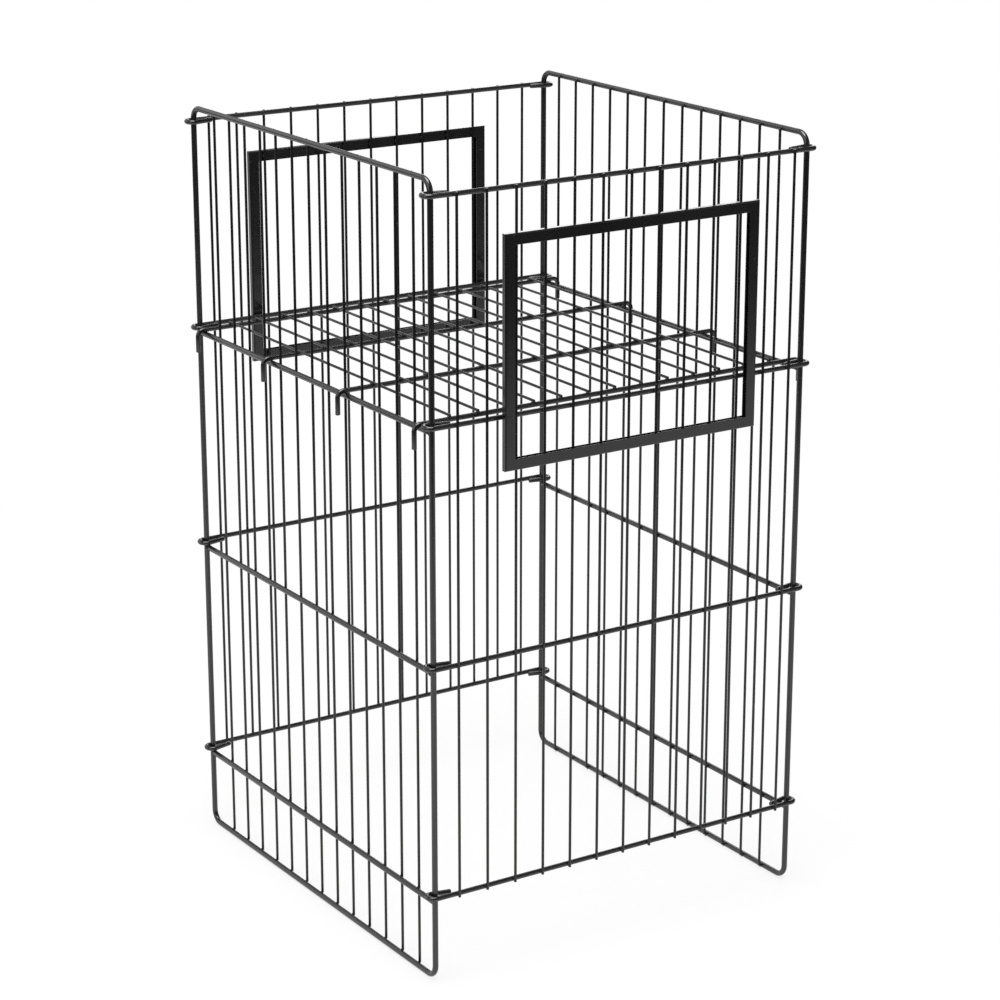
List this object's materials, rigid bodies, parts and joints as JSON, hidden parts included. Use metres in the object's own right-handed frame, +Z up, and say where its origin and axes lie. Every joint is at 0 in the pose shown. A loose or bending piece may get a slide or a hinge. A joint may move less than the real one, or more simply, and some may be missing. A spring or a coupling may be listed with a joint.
{
  "type": "wire dump bin",
  "caption": "Free-standing wire dump bin with a hinged front and back, a hook-over wire shelf and an open sign frame on its front and back faces.",
  "frame": {"origin": "on the floor, at the middle of the bin's footprint", "axes": "+Z up, front towards -Y, +X to the right of someone facing the front"},
  "size_m": [0.4528, 0.4922, 0.788],
  "materials": {
    "wire_coating": "black satin powder coat on steel wire",
    "sign_frame_coating": "black satin powder coat on folded steel channel"
  },
  "bodies": {
    "left_side": {"left_side_loop": "wire_coating", "left_side_shelf_rail": "wire_coating", "left_side_low_rail": "wire_coating", "left_side_grid": "wire_coating"},
    "front_panel": {"front_top_rail": "wire_coating", "front_shelf_rail": "wire_coating", "front_low_rail": "wire_coating", "front_grid": "wire_coating", "front_sign_bottom": "sign_frame_coating", "front_sign_top": "sign_frame_coating", "front_sign_left": "sign_frame_coating", "front_sign_right": "sign_frame_coating"},
    "back_panel": {"back_top_rail": "wire_coating", "back_shelf_rail": "wire_coating", "back_low_rail": "wire_coating", "back_grid": "wire_coating", "back_sign_bottom": "sign_frame_coating", "back_sign_top": "sign_frame_coating", "back_sign_left": "sign_frame_coating", "back_sign_right": "sign_frame_coating"},
    "right_side": {"right_side_loop": "wire_coating", "right_side_shelf_rail": "wire_coating", "right_side_low_rail": "wire_coating", "right_side_grid": "wire_coating"},
    "shelf": {"shelf_cross_wire_1": "wire_coating", "shelf_cross_wire_2": "wire_coating", "shelf_cross_wire_3": "wire_coating", "shelf_cross_wire_4": "wire_coating", "shelf_wire_01": "wire_coating", "shelf_wire_02": "wire_coating", "shelf_wire_03": "wire_coating", "shelf_wire_04": "wire_coating", "shelf_wire_05": "wire_coating", "shelf_wire_06": "wire_coating", "shelf_wire_07": "wire_coating", "shelf_wire_08": "wire_coating", "shelf_wire_09": "wire_coating", "shelf_wire_10": "wire_coating", "shelf_wire_11": "wire_coating", "shelf_wire_12": "wire_coating", "shelf_wire_13": "wire_coating"}
  },
  "joints": [
    {"name": "front_hinge", "type": "hinge", "parent": "left_side", "child": "front_panel", "pos_m": [-0.214, -0.2285, 0.394], "axis": [0, 0, 1], "range_deg": [-0.3, 0.3]},
    {"name": "back_hinge", "type": "hinge", "parent": "left_side", "child": "back_panel", "pos_m": [-0.214, 0.2285, 0.394], "axis": [0, 0, 1], "range_deg": [-0.3, 0.3]},
    {"name": "right_side_hinge", "type": "hinge", "parent": "front_panel", "child": "right_side", "pos_m": [0.214, -0.2285, 0.394], "axis": [0, 0, 1], "range_deg": [-0.3, 0.3]},
    {"name": "shelf_tilt", "type": "hinge", "parent": "left_side", "child": "shelf", "pos_m": [-0.214, 0, 0.551], "axis": [0, -1, 0], "range_deg": [0, 56]}
  ],
  "couplings": [
    {"joint": "back_hinge", "follows": "front_hinge", "ratio": 1},
    {"joint": "right_side_hinge", "follows": "front_hinge", "ratio": -1}
  ]
}
